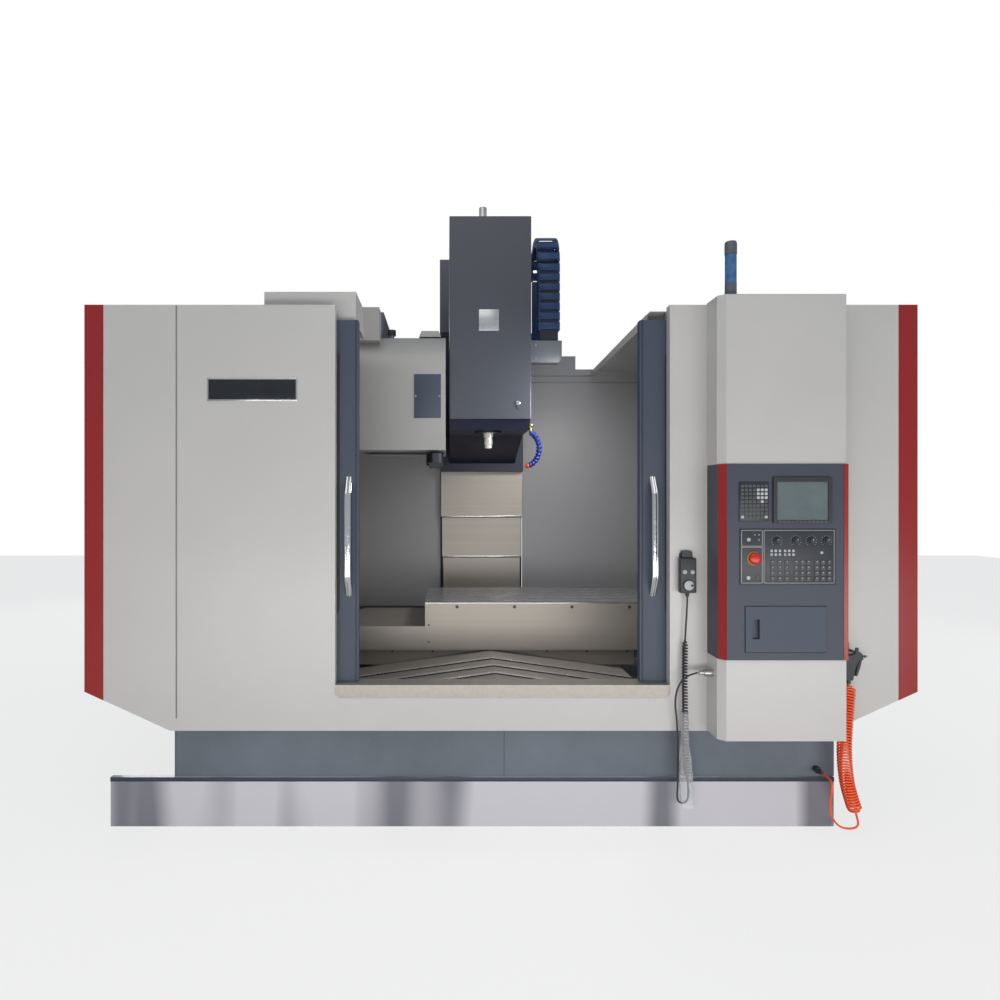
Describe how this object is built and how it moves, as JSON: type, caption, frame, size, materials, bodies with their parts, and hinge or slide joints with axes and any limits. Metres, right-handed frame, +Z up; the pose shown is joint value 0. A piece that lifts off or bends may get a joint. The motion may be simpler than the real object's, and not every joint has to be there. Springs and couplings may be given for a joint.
{
  "type": "cnc machining center",
  "caption": "Vertical machining centre: sheet-metal enclosure with open sliding doors, covered head, T-slot table, tool changer, control pod with screen and hand pendant",
  "frame": {"origin": "on the shop floor under the middle of the machine's width and depth", "axes": "+X to the operator's right, +Y away from the operator, +Z up"},
  "size_m": [3.9, 2.888, 3.37],
  "materials": {
    "pale_paint": "satin",
    "slate_paint": "satin",
    "red_paint": "gloss",
    "stainless": "brushed",
    "casting": "painted",
    "ground_steel": "ground",
    "chrome": "polished",
    "dark_plastic": "moulded",
    "red_plastic": "moulded",
    "chain_plastic": "moulded",
    "cord": "matt",
    "hose_orange": "moulded",
    "blue_plastic": "moulded",
    "lamp": "moulded"
  },
  "bodies": {
    "frame": {"machine_bed": "casting", "levelling_feet": "ground_steel", "coolant_tank": "pale_paint", "column": "casting", "guide_rails": "ground_steel", "fixed_covers": "stainless", "front_panel": "pale_paint", "front_sill": "stainless", "splash_walls": "pale_paint", "side_and_roof_panels": "pale_paint", "pod_housing": "pale_paint", "control_fascia": "slate_paint", "red_trims": "red_paint", "display_unit": "dark_plastic", "operator_panel": "dark_plastic", "signal_lamp": "lamp", "hand_pendant": "dark_plastic", "pendant_connector": "ground_steel", "pendant_cord_lead": "cord", "pendant_cord_curl": "cord", "pendant_cord_return": "cord", "air_gun": "dark_plastic", "panel_brackets": "ground_steel", "air_hose_coil": "hose_orange", "air_hose_lead": "hose_orange", "magazine_cover": "pale_paint", "changer_frame": "casting", "chain_column_end": "chain_plastic", "electrical_cabinet": "slate_paint"},
    "saddle": {"saddle": "casting", "saddle_covers": "stainless"},
    "table": {"table": "ground_steel", "table_covers": "stainless"},
    "x_plates_inner": {"x_cover_2": "stainless"},
    "x_plates_outer": {"x_cover_3": "stainless"},
    "y_plate_2": {"y_cover_2": "stainless"},
    "y_plate_3": {"y_cover_3": "stainless"},
    "y_plate_4": {"y_cover_4": "stainless"},
    "head": {"head_casting": "casting", "head_cover": "slate_paint", "z_cover_1": "stainless", "coolant_line": "blue_plastic", "chain_head_end": "chain_plastic"},
    "z_plate_2": {"z_cover_2": "stainless"},
    "z_plate_3": {"z_cover_3": "stainless"},
    "cable_loop": {"chain_loop": "chain_plastic"},
    "spindle": {"spindle": "ground_steel"},
    "left_door": {"left_door": "slate_paint"},
    "right_door": {"right_door": "slate_paint"},
    "storage_door": {"storage_door": "slate_paint"},
    "estop": {"estop_button": "red_plastic"},
    "mode_knob": {"mode_knob": "dark_plastic"},
    "feed_knob": {"feed_override_knob": "dark_plastic"},
    "speed_knob": {"spindle_override_knob": "dark_plastic"},
    "rapid_knob": {"rapid_override_knob": "dark_plastic"},
    "pendant_wheel": {"pendant_wheel": "dark_plastic"},
    "gun_trigger": {"gun_trigger": "dark_plastic"},
    "magazine": {"tool_magazine": "ground_steel"},
    "quill": {"arm_quill": "ground_steel"},
    "arm": {"tool_arm": "ground_steel"}
  },
  "joints": [
    {"name": "saddle_slide", "type": "slide", "parent": "frame", "child": "saddle", "axis": [0, 1, 0], "range_m": [-0.55, 0.15]},
    {"name": "table_slide", "type": "slide", "parent": "saddle", "child": "table", "axis": [1, 0, 0], "range_m": [-0.966, 0.334]},
    {"name": "x_plates_inner_slide", "type": "slide", "parent": "saddle", "child": "x_plates_inner", "axis": [1, 0, 0], "range_m": [-0.645, 0.22367]},
    {"name": "x_plates_outer_slide", "type": "slide", "parent": "saddle", "child": "x_plates_outer", "axis": [1, 0, 0], "range_m": [-0.323, 0.11233]},
    {"name": "y_plate_2_slide", "type": "slide", "parent": "frame", "child": "y_plate_2", "axis": [0, 1, 0], "range_m": [-0.4135, 0.1135]},
    {"name": "y_plate_3_slide", "type": "slide", "parent": "frame", "child": "y_plate_3", "axis": [0, 1, 0], "range_m": [-0.276, 0.076]},
    {"name": "y_plate_4_slide", "type": "slide", "parent": "frame", "child": "y_plate_4", "axis": [0, 1, 0], "range_m": [-0.1385, 0.0385]},
    {"name": "head_slide", "type": "slide", "parent": "frame", "child": "head", "axis": [0, 0, 1], "range_m": [-0.7, 0]},
    {"name": "z_plate_2_slide", "type": "slide", "parent": "frame", "child": "z_plate_2", "axis": [0, 0, 1], "range_m": [-0.46767, 0.001]},
    {"name": "z_plate_3_slide", "type": "slide", "parent": "frame", "child": "z_plate_3", "axis": [0, 0, 1], "range_m": [-0.23433, 0.001]},
    {"name": "cable_loop_slide", "type": "slide", "parent": "frame", "child": "cable_loop", "axis": [0, 0, 1], "range_m": [-0.351, 0.001]},
    {"name": "spindle_spin", "type": "hinge", "parent": "head", "child": "spindle", "pos_m": [0, -0.256, 1.9], "axis": [0, 0, 1], "continuous": true},
    {"name": "left_door_slide", "type": "slide", "parent": "frame", "child": "left_door", "axis": [1, 0, 0], "range_m": [0, 0.6735]},
    {"name": "right_door_slide", "type": "slide", "parent": "frame", "child": "right_door", "axis": [-1, 0, 0], "range_m": [0, 0.665]},
    {"name": "storage_door_hinge", "type": "hinge", "parent": "frame", "child": "storage_door", "pos_m": [1.432, -1.4168, 0.966], "axis": [0, 0, 1], "range_deg": [0, 100]},
    {"name": "estop_push", "type": "slide", "parent": "frame", "child": "estop", "axis": [0, 1, 0], "range_m": [0, 0.0045], "stiffness_N_per_m": 900},
    {"name": "mode_knob_turn", "type": "hinge", "parent": "frame", "child": "mode_knob", "pos_m": [1.214, -1.419, 1.362], "axis": [0, 1, 0], "range_deg": [-135, 135]},
    {"name": "feed_knob_turn", "type": "hinge", "parent": "frame", "child": "feed_knob", "pos_m": [1.298, -1.419, 1.362], "axis": [0, 1, 0], "range_deg": [-135, 135]},
    {"name": "speed_knob_turn", "type": "hinge", "parent": "frame", "child": "speed_knob", "pos_m": [1.367, -1.419, 1.362], "axis": [0, 1, 0], "range_deg": [-135, 135]},
    {"name": "rapid_knob_turn", "type": "hinge", "parent": "frame", "child": "rapid_knob", "pos_m": [1.435, -1.419, 1.362], "axis": [0, 1, 0], "range_deg": [-135, 135]},
    {"name": "pendant_wheel_turn", "type": "hinge", "parent": "frame", "child": "pendant_wheel", "pos_m": [0.864, -1.301, 1.148], "axis": [0, 1, 0], "continuous": true},
    {"name": "gun_trigger_pull", "type": "hinge", "parent": "frame", "child": "gun_trigger", "pos_m": [1.647, -1.316, 0.805], "axis": [0, 1, 0], "range_deg": [0, 8], "stiffness_Nm_per_rad": 2},
    {"name": "magazine_turn", "type": "hinge", "parent": "frame", "child": "magazine", "pos_m": [-0.54, -0.246, 2.1675], "axis": [1, 0, 0], "continuous": true},
    {"name": "arm_drop", "type": "slide", "parent": "frame", "child": "quill", "axis": [0, 0, 1], "range_m": [-0.13, 0]},
    {"name": "arm_turn", "type": "hinge", "parent": "quill", "child": "arm", "pos_m": [-0.323, -0.256, 1.775], "axis": [0, 0, 1], "range_deg": [0, 270]}
  ],
  "couplings": [
    {"joint": "x_plates_inner_slide", "follows": "table_slide", "ratio": 0.66667},
    {"joint": "x_plates_outer_slide", "follows": "table_slide", "ratio": 0.33333},
    {"joint": "y_plate_2_slide", "follows": "saddle_slide", "ratio": 0.75},
    {"joint": "y_plate_3_slide", "follows": "saddle_slide", "ratio": 0.5},
    {"joint": "y_plate_4_slide", "follows": "saddle_slide", "ratio": 0.25},
    {"joint": "z_plate_2_slide", "follows": "head_slide", "ratio": 0.66667},
    {"joint": "z_plate_3_slide", "follows": "head_slide", "ratio": 0.33333},
    {"joint": "cable_loop_slide", "follows": "head_slide", "ratio": 0.5}
  ]
}
